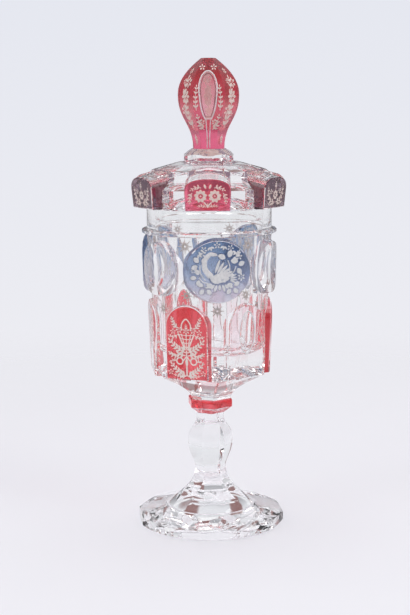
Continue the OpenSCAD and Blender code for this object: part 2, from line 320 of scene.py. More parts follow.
def draw_into_neighbour(bm, faces, shift, pinch=1.0, ring=False):
    """Draws a group of faces on into the neighbour, so that the two can be fused.
    The drawn end is pinched towards the axis, or towards the middle radius of a ring."""
    drawn = bmesh.ops.extrude_face_region(bm, geom=faces)["geom"]
    bmesh.ops.delete(bm, geom=faces, context="FACES")
    for vert in (g for g in drawn if isinstance(g, bmesh.types.BMVert)):
        vert.co += shift
        inner = ring and vert.co.xy.length < RING_MIDDLE * MM
        share = 2.0 - pinch if inner else pinch
        vert.co.x *= share
        vert.co.y *= share


def end_faces(bm, top):
    """The flat faces at the upper or lower end of a piece."""
    levels = [v.co.z for v in bm.verts]
    end = max(levels) if top else min(levels)
    return [f for f in bm.faces if all(abs(v.co.z - end) < WELD for v in f.verts)]


def ease_front_edges(bm, facing, width):
    """Narrow bevel along the outline of a raised panel, where the cut edge catches the light."""
    bmesh.ops.dissolve_limit(bm, angle_limit=math.radians(PANEL_FLAT), verts=bm.verts, edges=bm.edges)
    bm.normal_update()
    outline = []
    for edge in bm.edges:
        lie = [f.normal.dot(facing) for f in edge.link_faces]
        sharp = edge.calc_face_angle(0.0) > math.radians(BEVEL_TURN)
        if len(lie) == 2 and max(lie) > FRONT_LIE and min(lie) < EASED_LIE and sharp:
            outline.append(edge)
    bmesh.ops.bevel(bm, geom=outline, offset=width, segments=2, profile=0.5, affect="EDGES",
                    clamp_overlap=False)
    bmesh.ops.triangulate(bm, faces=[f for f in bm.faces if len(f.verts) > 4])
    bm.normal_update()


def on_groove(spot, turn):
    """Tells whether a point lies on the front of the groove that cuts the almond window at this turn."""
    away, aside = spot.dot(outward(turn)) / MM, spot.dot(sideways(turn)) / MM
    ring = math.hypot(away - ALMOND_AWAY, spot.z / MM - ALMOND_Z) - ALMOND_RING
    return away > GROOVE_FRONT and abs(math.hypot(ring, aside) - ALMOND_TUBE) < GROOVE_NEAR


def in_almond(face):
    """Tells whether a face of the finial lies in an almond window."""
    turns = [TURN[f"lid_ruby_panel_{i}"] for i in THREE]
    return any(all(on_groove(vert.co, turn) for vert in face.verts) for turn in turns)


def parts_of(name):
    """Names of the parts of a piece that get a glass of their own."""
    if name == "finial":
        return [name, "almond_window"]
    if name == "stem_collar":
        return [name, "underside_of_collar"]
    if name in TURN:
        return [name, "edge_of_" + name, "side_of_" + name, "top_of_" + name]
    return [name]


def part_at(name, face):
    """Place of a face's part in the list of parts."""
    if name == "finial":
        return int(in_almond(face))
    if name == "stem_collar":
        return int(face.normal.z < COLLAR_UNDER_LIE)
    if name not in TURN:
        return 0
    lie = face.normal.dot(outward(TURN[name]))
    if lie < SIDE_LIE:
        return 3 if face.normal.z > TOP_LIE else 2
    return int(lie < (BLUE_FRONT_LIE if name.startswith("blue") else FRONT_LIE))


def mark(part):
    """Plain material that marks a part until the glass is fused."""
    name = "from_" + part
    return bpy.data.materials.get(name) or bpy.data.materials.new(name)


def piece_of_glass(name):
    """A node's mesh as a temporary object that runs into its neighbours, with its parts marked."""
    bm = welded_copy(name)
    if name in TURN:
        facing = outward(TURN[name])
        if not name.startswith("clear_medallion"):
            ease_front_edges(bm, facing, (ARCH_BEVEL if "_arch" in name else BEVEL) * MM)
        back = [f for f in bm.faces if f.normal.dot(facing) < BACK_LIE]
        draw_into_neighbour(bm, back, -PANEL_OVERLAP * MM * facing)
    for top, pinch, ring in DRAWN_ENDS.get(name, ()):
        shift = Vector((0, 0, (OVERLAP if top else -OVERLAP) * MM))
        draw_into_neighbour(bm, end_faces(bm, top), shift, pinch, ring)
    bmesh.ops.recalc_face_normals(bm, faces=bm.faces)
    for face in bm.faces:
        face.material_index = part_at(name, face)
    return object_of(bm, name + "_glass", [mark(part) for part in parts_of(name)])


def turned_cutter(name, outline):
    """Round body from a list of radius and height in millimetres, to cut the glass with."""
    bm = bmesh.new()
    turns = [2 * math.pi * k / CUTTER_SIDES for k in range(CUTTER_SIDES)]
    rings = []
    for radius, z in outline:
        r = radius * MM
        rings.append([bm.verts.new((r * math.cos(a), r * math.sin(a), z * MM)) for a in turns])
    for low, high in zip(rings, rings[1:]):
        for k in range(CUTTER_SIDES):
            n = (k + 1) % CUTTER_SIDES
            bm.faces.new((low[k], low[n], high[n], high[k]))
    bm.faces.new(list(reversed(rings[0])))
    bm.faces.new(rings[-1])
    bmesh.ops.recalc_face_normals(bm, faces=bm.faces)
    return object_of(bm, name, [mark(name)])


def evaluated_mesh(piece):
    """Plain mesh of what a piece's modifiers make of it."""
    graph = bpy.context.evaluated_depsgraph_get()
    return bpy.data.meshes.new_from_object(piece.evaluated_get(graph))


def boolean(piece, other, operation):
    """Fuses another solid with a piece, or cuts it out of it."""
    step = piece.modifiers.new(operation.lower(), "BOOLEAN")
    step.operation = operation
    step.object = other
    step.solver = "MANIFOLD"
    step.material_mode = "TRANSFER"
    piece.data = evaluated_mesh(piece)
    piece.modifiers.clear()
    bpy.data.objects.remove(other)


def fused(name, members):
    """One piece of glass from all the solids of a body."""
    pieces = [piece_of_glass(member) for member in members]
    whole = pieces[0]
    whole.name = name
    for other in pieces[1:]:
        boolean(whole, other, "UNION")
    return whole


def put_in_order(mesh):
    """Writes a mesh anew in the order of its places, because the solver hands it over in a chance order."""
    places = [tuple(v.co) for v in mesh.vertices]
    order = sorted(range(len(places)), key=places.__getitem__)
    rank = {old: new for new, old in enumerate(order)}
    faces = []
    for face in mesh.polygons:
        ring = [rank[k] for k in face.vertices]
        first = ring.index(min(ring))
        faces.append((ring[first:] + ring[:first], face.material_index))
    faces.sort()
    anew = bpy.data.meshes.new(mesh.name)
    anew.from_pydata([places[k] for k in order], [], [ring for ring, _ in faces])
    for kind in mesh.materials:
        anew.materials.append(kind)
    anew.polygons.foreach_set("material_index", [index for _, index in faces])
    return anew


def keep_crisp(bm, parts):
    """Shades the glass smooth, apart from edges that turn sharply and seams where parts meet."""
    for edge in bm.edges:
        if len(edge.link_faces) != 2:
            continue
        first, second = (parts[f.material_index] for f in edge.link_faces)
        limit = CRISP.get(first, CRISP_ELSEWHERE)
        if "lid_cover" in (first, second) and all(f.normal.z < LID_UNDER_LIE for f in edge.link_faces):
            limit = CRISP["lid_inside"]
        if first != second:
            limit = CRISP_SEAM
        edge.smooth = edge.calc_face_angle(0.0) < math.radians(limit)
    for face in bm.faces:
        face.smooth = True


# glass of each part, by how its name starts; all that isn't named here is clear, as the polished edges are
STAINS = {"ruby_arch": ruby_glass, "stem_collar": ruby_glass, "lid_ruby": crimson_glass,
          "side_of_ruby": ruby_side_glass, "side_of_lid_ruby": ruby_side_glass,
          "top_of_ruby": pale_rose_glass, "underside_of_collar": pale_rose_glass,
          "edge_of_lid_ruby": rose_glass, "finial": rose_glass, "almond_window": window_glass,
          "clear_arch": blush_glass, "lid_blue": violet_glass, "side_of_lid_blue": violet_glass,
          "blue_medallion": blue_stain_and_painted_lightening, "side_of_blue": blue_stain_and_painted_lightening, "top_of_blue": blue_stain_and_painted_lightening}


def stain_of(part):
    """The panels are stained on their faces, and the ruby ones more thinly on their sides."""
    return next((glass for start, glass in STAINS.items() if part.startswith(start)), clear_glass)


def finish_glass(piece):
    """Merges what the fusing left split, and gives each face the glass of the part that it came from."""
    mesh = piece.data = put_in_order(piece.data)
    parts = [kind.name.removeprefix("from_") for kind in mesh.materials]
    stains = [stain_of(part) for part in parts]
    kinds = list(dict.fromkeys(stains))
    bm = bmesh.new()
    bm.from_mesh(mesh)
    bmesh.ops.remove_doubles(bm, verts=bm.verts, dist=WELD)
    bmesh.ops.dissolve_degenerate(bm, edges=bm.edges, dist=WELD)
    bmesh.ops.dissolve_limit(bm, angle_limit=math.radians(GLASS_FLAT), verts=bm.verts, edges=bm.edges,
                             delimit={"MATERIAL"})
    keep_crisp(bm, parts)
    for face in bm.faces:
        face.material_index = kinds.index(stains[face.material_index])
    mesh.materials.clear()
    for kind in kinds:
        mesh.materials.append(kind)
    bm.to_mesh(mesh)
    bm.free()


def bowl_inside():
    """Cutter for the inside of the bowl: flat floor, rounding, wall and mouth."""
    outline = []
    for t in range(0, 91, 9):
        angle = math.radians(t)
        inset, rise = FLOOR_ROUND * (1 - math.sin(angle)), FLOOR_ROUND * (1 - math.cos(angle))
        outline.append((INSIDE_R - inset, FLOOR_Z + rise))
    outline += [(MOUTH_R - MOUTH_STEP, RING_Z - STEP_BELOW), (MOUTH_R, RING_Z + STEP_ABOVE),
                (MOUTH_R, RIM_Z - MOUTH_BEVEL), (MOUTH_R + MOUTH_BEVEL, RIM_Z),
                (MOUTH_R + MOUTH_BEVEL, RIM_Z + CUT_PAST)]
    return turned_cutter("bowl_inside", [(r + SKIM, z - SKIM) for r, z in outline])


def surface_of(glass):
    """The faces of a piece of glass, to look for places on it."""
    faces = [tuple(f.vertices) for f in glass.data.polygons]
    return BVHTree.FromPolygons([v.co for v in glass.data.vertices], faces)


def place_on(surface, turn, aside, up):
    """Point of the glass that is seen from outside, and its normal. The distances are in metres."""
    start = outward(turn) * (RAY_START * MM) + sideways(turn) * aside + Vector((0, 0, up))
    return surface.ray_cast(start, -outward(turn))[:2]


def wheel_radius(v):
    """Radius of the bulged wheel at this distance from its middle."""
    return WHEEL_R - OLIVE_DEEP * (v / (OLIVE_HIGH / 2)) ** 2


def olive_wheel(glass, turn):
    """The bulged wheel, set against the face of the glass at this turn."""
    reach = OLIVE_HIGH / 2 * WHEEL_LONG
    levels = [reach * k / WHEEL_STEPS for k in range(-WHEEL_STEPS, WHEEL_STEPS + 1)]
    wheel = turned_cutter("olive_cut", [(wheel_radius(v), v) for v in levels])
    surface = surface_of(glass)
    low, high = (place_on(surface, turn, 0.0, (OLIVE_Z + way * WHEEL_SET) * MM)[0] for way in (-1, 1))
    up = (high - low).normalized()
    away = sideways(turn).cross(up)
    spot = (low + high) / 2 + away * (WHEEL_R - OLIVE_DEEP) * MM
    wheel.data.transform(Matrix.Translation(spot) @ Matrix((sideways(turn), -away, up)).transposed().to_4x4())
    return wheel


goblet_glass = fused("goblet_glass", GOBLET)
boolean(goblet_glass, bowl_inside(), "DIFFERENCE")
for i in THREE:
    boolean(goblet_glass, olive_wheel(goblet_glass, TURN[f"clear_arch_{i}"]), "DIFFERENCE")
finish_glass(goblet_glass)
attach(goblet_glass, "goblet")
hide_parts(*GOBLET)

lid_glass = fused("lid_glass", LID)
finish_glass(lid_glass)
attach(lid_glass, "lid")
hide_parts(*LID)

# Engraving and cut stars, with painted highlight and painted shade lines along cut edges

CUT_DEPTH, LINE_FLATNESS, SHORTEST_BLADE = 0.22, 0.45, 0.01
BLADE_SIDES, BLADE_TOP, LINE_SIDES = 12, 0.62, 6
STAR_RAYS, STAR_HUB, RAY_WIDE, SHORT_RAY = 16, 0.5, 0.75, 0.6

# shares of a sprig: its thinner tip, the leaf there, how far its pairs of leaves shrink, and their places
TIP_LINE, TIP_LEAF, FIRST_LEAF, LEAF_SHRINK, PAIR_START, PAIR_END = 0.6, 0.7, 1.05, 0.4, 0.7, 0.35
# shares of a blossom's radius: where a petal starts, its length, and its eye
PETAL_START, PETAL_LONG, EYE = 0.22, 0.78, 0.34
# stalk, spread and plumpness of three leaves on a stalk
STALK_LINE, LEAF_SPREAD, LEAF_PLUMP = 0.28, 78, 0.8

# painted highlight line on the edge of the almond windows, the painted shade line inside it, and how far that
# one is drawn inward
EDGE_LINE, SHADE_LINE, SHADE_INWARD = 0.34, 0.2, 0.2
# how far over the rim the drawings on the lid's panels start
PANEL_FOOT = 1.0


def away_from(u, v, reach, turn):
    """The point at this distance and turn from another."""
    angle = math.radians(turn)
    return u + reach * math.cos(angle), v + reach * math.sin(angle)


def on_side(side, *bends):
    """The bends as they are for side 1, or mirrored for side -1."""
    return [(side * u, v) for u, v in bends]


def smooth_path(bends, steps):
    """Points on a curve through the bends."""
    if len(bends) == 2:
        return list(bends)
    ends = [bends[0]] + list(bends) + [bends[-1]]
    path = []
    for k in range(len(bends) - 1):
        a, b, c, d = ends[k:k + 4]
        for n in range(steps):
            t = n / steps
            path.append(tuple(0.5 * (2 * q + (r - p) * t + (2 * p - 5 * q + 4 * r - w) * t * t
                                     + (3 * q - p - 3 * r + w) * t ** 3)
                              for p, q, r, w in zip(a, b, c, d)))
    path.append(tuple(bends[-1]))
    return path


class Pattern:
    """Flat drawing in millimetres for the engraving wheel, and for painted highlight and painted shade lines:
    blades that stand on points, and lines.
    """

    def __init__(self, scale):
        self.scale = scale * MM
        self.places, self.edges = [], []
        self.turn, self.long, self.wide, self.line = [], [], [], []

    def point(self, u, v, turn=0.0, long=0.0, wide=0.0, line=0.0):
        """Point with the sizes of its blade, or the width of the line that runs through it."""
        self.places.append((u * self.scale, v * self.scale, 0.0))
        self.turn.append(math.radians(turn))
        self.long.append(long * self.scale)
        self.wide.append(wide * self.scale)
        self.line.append(line * self.scale)
        return len(self.places) - 1

    def blade(self, u, v, turn, long, wide):
        """Leaf, petal, feather or ray from this point outwards."""
        self.point(u, v, turn, long, wide)

    def stroke(self, bends, width, end_width=None, steps=6):
        """Smooth line through the bends."""
        path = smooth_path(bends, steps)
        before = None
        for k, (u, v) in enumerate(path):
            share = k / (len(path) - 1)
            here = self.point(u, v, line=width + ((end_width or width) - width) * share)
            if before is not None:
                self.edges.append((before, here))
            before = here
        return path

    def sprig(self, bends, width, count, leaf, shape=0.5, lean=42):
        """Stem with pairs of leaves that shrink towards its tip, and a leaf at the tip."""
        path = self.stroke(bends, width, width * TIP_LINE)
        for k in range(count):
            share = (k + PAIR_START) / (count + PAIR_END)
            at = share * (len(path) - 1)
            low = min(int(at), len(path) - 2)
            (u0, v0), (u1, v1) = path[low], path[low + 1]
            u, v = u0 + (u1 - u0) * (at - low), v0 + (v1 - v0) * (at - low)
            along = math.degrees(math.atan2(v1 - v0, u1 - u0))
            size = leaf * (FIRST_LEAF - LEAF_SHRINK * share)
            for side in (1, -1):
                self.blade(u, v, along + side * lean, size, size * shape)
        (u0, v0), (u1, v1) = path[-2:]
        tip = leaf * TIP_LEAF
        self.blade(u1, v1, math.degrees(math.atan2(v1 - v0, u1 - u0)), tip, tip * shape)

    def blossom(self, u, v, radius, petals, start=90, plump=0.75):
        """Ring of petals round a small eye."""
        petal, eye = radius * PETAL_LONG, radius * EYE
        for k in range(petals):
            turn = start + 360 * k / petals
            self.blade(*away_from(u, v, radius * PETAL_START, turn), turn, petal, petal * plump)
        self.blade(u - eye / 2, v, 0, eye, eye)

    def trefoil(self, stalk, turn, leaf):
        """Three round leaves on a stalk."""
        self.stroke(stalk, STALK_LINE)
        for lie in (turn - LEAF_SPREAD, turn, turn + LEAF_SPREAD):
            self.blade(*away_from(*stalk[-1], PETAL_START * leaf, lie), lie, leaf, leaf * LEAF_PLUMP)

    def star(self, radius):
        """Cut star: long and short rays by turns."""
        for k in range(STAR_RAYS):
            turn = 90 + 360 * k / STAR_RAYS
            reach = radius * SHORT_RAY if k % 2 else radius
            self.blade(*away_from(0, 0, STAR_HUB, turn), turn, reach - STAR_HUB, RAY_WIDE)


def engraving_tree():
    """Node tree that stands a blade on each point with a length, and draws a flat bead along each line."""
    tree = bpy.data.node_groups.new("wheel_cuts", "GeometryNodeTree")
    for name, way, kind in (("Pattern", "INPUT", "Geometry"), ("Cut depth", "INPUT", "Float"),
                            ("Line flatness", "INPUT", "Float"), ("Finish", "INPUT", "Material"),
                            ("Cuts", "OUTPUT", "Geometry")):
        tree.interface.new_socket(name, in_out=way, socket_type="NodeSocket" + kind)
    given = node(tree, "NodeGroupInput").outputs

    def value(name):
        return node(tree, "GeometryNodeInputNamedAttribute", {"Name": name}, data_type="FLOAT")

    def maths(operation, *numbers):
        return node(tree, "ShaderNodeMath", dict(enumerate(numbers)), operation=operation)

    def vector(x=0.0, y=0.0, z=0.0):
        return node(tree, "ShaderNodeCombineXYZ", {"X": x, "Y": y, "Z": z})

    # the blade: a low frustum, drawn out to two points
    stub = node(tree, "GeometryNodeMeshCone", {
        "Vertices": BLADE_SIDES, "Radius Top": BLADE_TOP, "Radius Bottom": 1.0, "Depth": 1.0})
    place = node(tree, "GeometryNodeInputPosition")
    split = node(tree, "ShaderNodeSeparateXYZ", {"Vector": place}).outputs
    forward = maths("MULTIPLY_ADD", split["X"], 0.5, 0.5)
    swell = maths("SQRT", maths("ABSOLUTE", split["Y"]))
    aside = maths("MULTIPLY", maths("MULTIPLY", split["Y"], swell), 0.5)
    sunk = maths("SUBTRACT", split["Z"], 0.5)
    drawn_out = vector(forward, aside, sunk)
    blade = node(tree, "GeometryNodeSetPosition", {"Geometry": stub, "Position": drawn_out})

    # a blade on each point that has a length
    long = value("long")
    turned = node(tree, "FunctionNodeEulerToRotation", {"Euler": vector(z=value("turn"))})
    stand = node(tree, "GeometryNodeInstanceOnPoints", {
        "Points": given["Pattern"], "Selection": maths("GREATER_THAN", long, SHORTEST_BLADE * MM),
        "Instance": blade, "Rotation": turned, "Scale": vector(long, value("wide"), given["Cut depth"])})

    # a bead along each line, pressed flat
    curve = node(tree, "GeometryNodeMeshToCurve", {"Mesh": given["Pattern"]})
    profile = node(tree, "GeometryNodeCurvePrimitiveCircle", {"Resolution": LINE_SIDES, "Radius": 1.0})
    bead = node(tree, "GeometryNodeCurveToMesh", {
        "Curve": curve, "Profile Curve": profile, "Scale": value("line"), "Fill Caps": True})
    flat = node(tree, "ShaderNodeVectorMath", {0: place, 1: vector(1.0, 1.0, given["Line flatness"])},
                operation="MULTIPLY")
    pressed = node(tree, "GeometryNodeSetPosition", {"Geometry": bead, "Position": flat})

    join = node(tree, "GeometryNodeJoinGeometry", {"Geometry": stand})
    tree.links.new(pressed.outputs["Geometry"], join.inputs["Geometry"])
    real = node(tree, "GeometryNodeRealizeInstances", {"Geometry": join})
    coat = node(tree, "GeometryNodeSetMaterial", {"Geometry": real, "Material": given["Finish"]})
    node(tree, "NodeGroupOutput", {"Cuts": coat})
    return tree


wheel_cuts = engraving_tree()


def cut_flat(draw, *values, finish=engraving_and_painted_highlight, scale=1.0):
    """Flat relief of what is drawn, in metres, with the height above the glass as third number."""
    pattern = Pattern(scale)
    draw(pattern, *values)
    mesh = bpy.data.meshes.new("pattern")
    mesh.from_pydata(pattern.places, pattern.edges, [])
    for name in ("turn", "long", "wide", "line"):
        mesh.attributes.new(name, "FLOAT", "POINT").data.foreach_set("value", getattr(pattern, name))
    drawing = placed("pattern", mesh)
    step = drawing.modifiers.new("wheel_cuts", "NODES")
    step.node_group = wheel_cuts
    inputs = wheel_cuts.interface.items_tree
    step[inputs["Cut depth"].identifier] = CUT_DEPTH * MM
    step[inputs["Line flatness"].identifier] = LINE_FLATNESS
    step[inputs["Finish"].identifier] = finish
    flat = evaluated_mesh(drawing)
    bpy.data.objects.remove(drawing)
    return flat


class Cuts:
    """Engraving of one body, with its painted highlight and painted shade lines: flat patterns laid on its
    glass and gathered in one mesh.
    """

    def __init__(self, glass):
        self.surface = surface_of(glass)
        self.bm = bmesh.new()
        self.finishes = []

    def lay(self, flat, turn, z):
        """Lays a flat pattern on the glass at this turn and height."""
        finish = flat.materials[flat.polygons[0].material_index]
        if finish not in self.finishes:
            self.finishes.append(finish)
        laid = []
        for vert in flat.vertices:
            u, v, proud = vert.co
            hit, normal = place_on(self.surface, turn, u, z * MM + v)
            laid.append(self.bm.verts.new(hit + normal * proud) if hit else None)
        for face in flat.polygons:
            verts = [laid[k] for k in face.vertices]
            if all(verts):
                self.bm.faces.new(verts).material_index = self.finishes.index(finish)

    def finish(self, name, body):
        """Makes the piece, which moves with its body."""
        bmesh.ops.delete(self.bm, geom=[v for v in self.bm.verts if not v.link_faces], context="VERTS")
        piece = object_of(self.bm, name, self.finishes)
        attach(piece, body)


def flower_basket(p):
    """Basket with a hooped handle, flowers, leaf sprays and ring scrolls, the same left and right."""
    p.stroke([(-2.9, 32.5), (-2.9, 36.2), (0, 39.4), (2.9, 36.2), (2.9, 32.5)], 0.42)
    p.sprig([(0, 32), (0, 35.5)], 0.25, 2, 1.8)
    p.stroke([(0, 3), (0, 11), (0, 19.5)], 0.55, 0.4)
    p.blade(0, 8, 90, 7.5, 2.6)
    for u in (0, -1.6, 1.6):
        p.stroke([(u * 0.5, 20), (u * 1.2, 25), (u * 2.0, 30)], 0.3)
    for v, half_wide in ((21.5, 1.6), (24, 2.5), (26.5, 3.7), (29, 5.0)):
        p.stroke([(-half_wide, v + 0.5), (0, v), (half_wide, v + 0.5)], 0.26)
    p.blossom(0, 31.8, 2.6, 6, plump=0.6)
    for side in (1, -1):
        p.stroke(on_side(side, (1.2, 19.5), (2.6, 23.5), (5.4, 30.2)), 0.45)
        p.blossom(side * 4.7, 32.4, 2.5, 6, 60, 0.6)
        p.blossom(side * 8.9, 31.2, 2.2, 5, plump=0.6)
        p.sprig(on_side(side, (6.0, 33.4), (8.2, 36.0), (9.4, 39.4)), 0.3, 4, 2.8)
        p.sprig(on_side(side, (5.6, 29.6), (8.4, 27.6), (11.2, 28.4)), 0.25, 3, 2.4)
        p.sprig(on_side(side, (0.6, 18.0), (4.2, 19.6), (7.6, 21.8), (10.6, 25.0)), 0.4, 5, 4.2)
        p.sprig(on_side(side, (0.8, 16.2), (5.0, 16.6), (8.6, 15.8), (11.0, 17.2)), 0.4, 5, 3.2)
        p.stroke(on_side(side, *[away_from(4.7, 12.6, 2.1, t) for t in range(180, 541, 36)]), 0.45)
        p.stroke(on_side(side, (0.4, 15.4), (1.6, 13.6), (2.6, 12.6)), 0.4)
        p.sprig(on_side(side, (6.9, 12.4), (9.0, 13.0), (11.2, 11.8)), 0.25, 3, 1.8)
        p.sprig(on_side(side, (0.6, 3.0), (3.6, 4.4), (6.8, 6.8), (9.6, 9.8)), 0.4, 5, 3.8, 0.52)
        p.sprig(on_side(side, (0.8, 2.8), (4.6, 2.6), (8.0, 3.4)), 0.3, 4, 2.2)
        p.blossom(side * 11.0, 5.2, 2.1, 5, plump=0.6)


def bird_among_leaves(p):
    """Long-necked water bird with a raised wing on a rosette of leaves,
    with sprays of round leaves and a flower border."""
    # body, wing, tail, neck and head
    for cut in (
            (-5.6, -3.2, -4, 13.8, 7.6), (-6.0, -2.4, -24, 9.4, 6.6), (-3.0, -1.4, -14, 10.0, 5.4),
            (-5.2, -1.4, -44, 8.4, 6.0), (-4.8, -3.4, 9, 11.0, 5.4)):
        p.blade(*cut)
    for k in range(6):
        p.blade(-2.4 + 0.9 * k, -1.6 - 0.25 * k, 70 - 12 * k, 10.6 - 0.5 * k, 2.3)
    for k in range(4):
        p.blade(6.2, -4.6 + 0.35 * k, -26 + 17 * k, 5.4, 1.3)
    p.stroke([(-4.4, -2.6), (-7.7, 1.6), (-7.9, 6.6), (-5.2, 10.2), (-2.6, 10.2)], 1.8, 1.0, 8)
    p.blade(-4.4, 10.7, -12, 4.3, 2.7)
    p.blade(-0.9, 9.8, -32, 2.3, 0.8)
    # rosette of leaves below
    for k in range(9):
        turn = -8 - 20.5 * k
        p.blade(0.6 + 4.2 * math.cos(math.radians(turn)), -7.0, turn, 5.4 if k % 2 else 4.2, 2.3)
    # three-leaved sprays and flowers
    for turn, leaf, *stalk in (
            (70, 5.6, (6.4, -1.0), (6.6, 3.2), (5.4, 6.8)), (22, 5.0, (7.2, -1.6), (9.2, 0.2), (10.4, 3.2)),
            (-48, 4.6, (5.4, -8.6), (6.8, -8.6), (8.0, -8.8)),
            (128, 4.9, (-7.6, -5.0), (-10.4, -0.6), (-10.6, 4.2)),
            (185, 4.5, (-6.0, -6.6), (-9.2, -5.6), (-11.2, -3.2)),
            (230, 4.6, (-4.6, -9.0), (-6.2, -9.0), (-7.6, -9.0))):
        p.trefoil(stalk, turn, leaf)
    p.sprig([(10.2, 8.6), (11.4, 9.8), (12.2, 11.4)], 0.25, 2, 2.4, 0.7)
    for flower in ((13.6, -3.4, 2.6, 6), (12.2, 8.6, 2.3, 5), (-9.4, 10.8, 2.5, 5), (-14.4, 0.6, 1.5, 5)):
        p.blossom(*flower, plump=0.7)
    # border of small flowers and leaves by turns along the top
    for k, turn in enumerate(range(48, 139, 15)):
        u, v = away_from(0, 0, 15.6, turn)
        if k % 2:
            p.blossom(u, v, 2.2, 5, turn, 0.7)
        else:
            for tilt in (-50, 0, 50):
                p.blade(u, v, turn + 180 + tilt, 2.9, 1.5)


def painted_olive_edge_highlight(p):
    """Painted highlight: pale matt line along the bright edge of the olive cut."""
    rise = [OLIVE_HIGH / 2 * math.sin(math.radians(a)) for a in range(-90, 91, 9)]
    face = (WHEEL_R - OLIVE_DEEP) ** 2
    for side in (1, -1):
        p.stroke([(side * math.sqrt(max(wheel_radius(v) ** 2 - face, 0.0)), v) for v in rise], 0.4, steps=2)


def paired_flowers(p):
    """Two round flowers on a forked stem, with leaves."""
    for side in (1, -1):
        p.blossom(side * 4.3, 8.4, 4.3, 9, plump=0.85)
        p.stroke(on_side(side, (0, 1.4), (0.9, 3.2), (2.4, 4.8)), 0.4)
        p.sprig(on_side(side, (1.0, 1.8), (3.2, 2.6), (5.4, 2.4)), 0.25, 3, 1.9, 0.4)
        p.sprig(on_side(side, (4.0, 13.4), (6.8, 13.8), (9.6, 12.4)), 0.25, 3, 2.5)
        p.sprig(on_side(side, (9.4, 10.4), (10.8, 8.0), (11.0, 5.0)), 0.25, 3, 2.5)
        p.blade(side * 0.9, 12.6, 90 - side * 22, 3.6, 1.9)
    p.blade(0, 1.2, 90, 3.6, 0.9)


def leaf_garland(p):
    """Flower between two leafy arcs."""
    p.blossom(0, 7.6, 3.3, 7, plump=0.9)
    p.sprig([(0, 11.2), (0, 14.6)], 0.25, 2, 2.2)
    for side in (1, -1):
        p.sprig(on_side(side, (1.0, 3.0), (5.4, 4.0), (8.6, 7.0), (9.2, 11.0)), 0.3, 5, 3.0, lean=46)
        p.blossom(side * 5.6, 9.6, 1.9, 5)
        p.sprig(on_side(side, (1.6, 2.4), (5.0, 1.8), (8.4, 2.6)), 0.25, 3, 1.8)


def finial_spray(p):
    """Upright spray of flowers for the faces between the almond windows."""
    p.sprig([(0.4, 13), (-0.5, 20), (0.7, 28), (-0.3, 36), (0.3, 43)], 0.4, 9, 4.8, 0.55, 44)
    for *flower, plump in (
            (0.6, 32.5, 5.2, 8, 0.66), (-2.8, 23.8, 3.8, 6, 0.7), (3.0, 41.2, 3.7, 6, 0.7),
            (2.9, 21.5, 1.9, 5, 0.75), (-2.6, 42, 1.9, 5, 0.75), (0, 48.4, 1.9, 6, 0.75)):
        p.blossom(*flower, plump=plump)
    p.sprig([(0.2, 9.0), (0.5, 4.0)], 0.3, 3, 2.6)


def almond_line(p, glass, width, inward=0.0):
    """Painted highlight line along the edge of the first almond window, or, drawn inward from it by this
    share, the painted shade line inside it.
    """
    mesh, turn = glass.data, TURN["lid_ruby_panel_1"]
    window, sides = {}, {}
    for face in mesh.polygons:
        for key in face.edge_keys:
            sides.setdefault(key, set()).add(mesh.materials[face.material_index])
    for key, kinds in sides.items():
        ends = [mesh.vertices[k].co for k in key]
        over_neck = all(co.z > (FINIAL_Z + NECK_HIGH) * MM for co in ends)
        in_front = all(co.dot(outward(turn)) > WINDOW_FRONT * MM for co in ends)
        if kinds != {window_glass, rose_glass} or not over_neck or not in_front:
            continue
        for k, co in zip(key, ends):
            if k not in window:
                aside, up = co.dot(sideways(turn)) / MM, co.z / MM - ALMOND_Z
                v = ALMOND_Z - FINIAL_Z + up * (1 - inward / 2)
                window[k] = p.point(aside * (1 - inward), v, line=width)
        p.edges.append((window[key[0]], window[key[1]]))


def neck_lines(p):
    """Two ground lines from the almond window down to the neck."""
    for side in (1, -1):
        p.stroke(on_side(side, (0.85, 0.6), (0.8, 8.0), (1.5, 18.4)), 0.22, 0.3)


def almond_leaves(p):
    """Leaves and small flowers beside the almond window."""
    for side in (1, -1):
        p.blossom(side * 4.2, 16.6, 2.4, 6, plump=0.7)
        p.sprig(on_side(side, (2.6, 12.0), (5.2, 15.0), (6.6, 20.0)), 0.25, 4, 2.9, 0.55)
        p.sprig(on_side(side, (7.4, 24.0), (7.9, 31.0), (7.2, 38.0)), 0.25, 5, 2.9, lean=36)
        p.blossom(side * 3.6, 50.6, 2.2, 5, plump=0.7)


goblet_cuts_and_painted_highlights = Cuts(goblet_glass)
basket = cut_flat(flower_basket, finish=engraved_in_arch)
bird = cut_flat(bird_among_leaves, scale=1.06)
# painted highlight along the edge of each olive cut
olive = cut_flat(painted_olive_edge_highlight)
for i in THREE:
    goblet_cuts_and_painted_highlights.lay(olive, TURN[f"clear_arch_{i}"], OLIVE_Z)
    goblet_cuts_and_painted_highlights.lay(basket, TURN[f"ruby_arch_{i}"], TIER_Z)
    goblet_cuts_and_painted_highlights.lay(bird, TURN[f"blue_medallion_{i}"], ROUND_Z)
for radius, first, over in STAR_ROWS:
    star = cut_flat(Pattern.star, radius, finish=star_cut)
    for k in range(6):
        goblet_cuts_and_painted_highlights.lay(star, first + 60 * k, ROUND_Z + over)
goblet_cuts_and_painted_highlights.finish("goblet_engraving_and_painted_highlights", "goblet")

lid_cuts_and_painted_highlight_and_shade = Cuts(lid_glass)
flowers, garland, spray, leaves = (
    cut_flat(draw, finish=engraved_in_ruby)
    for draw in (paired_flowers, leaf_garland, finial_spray, almond_leaves))
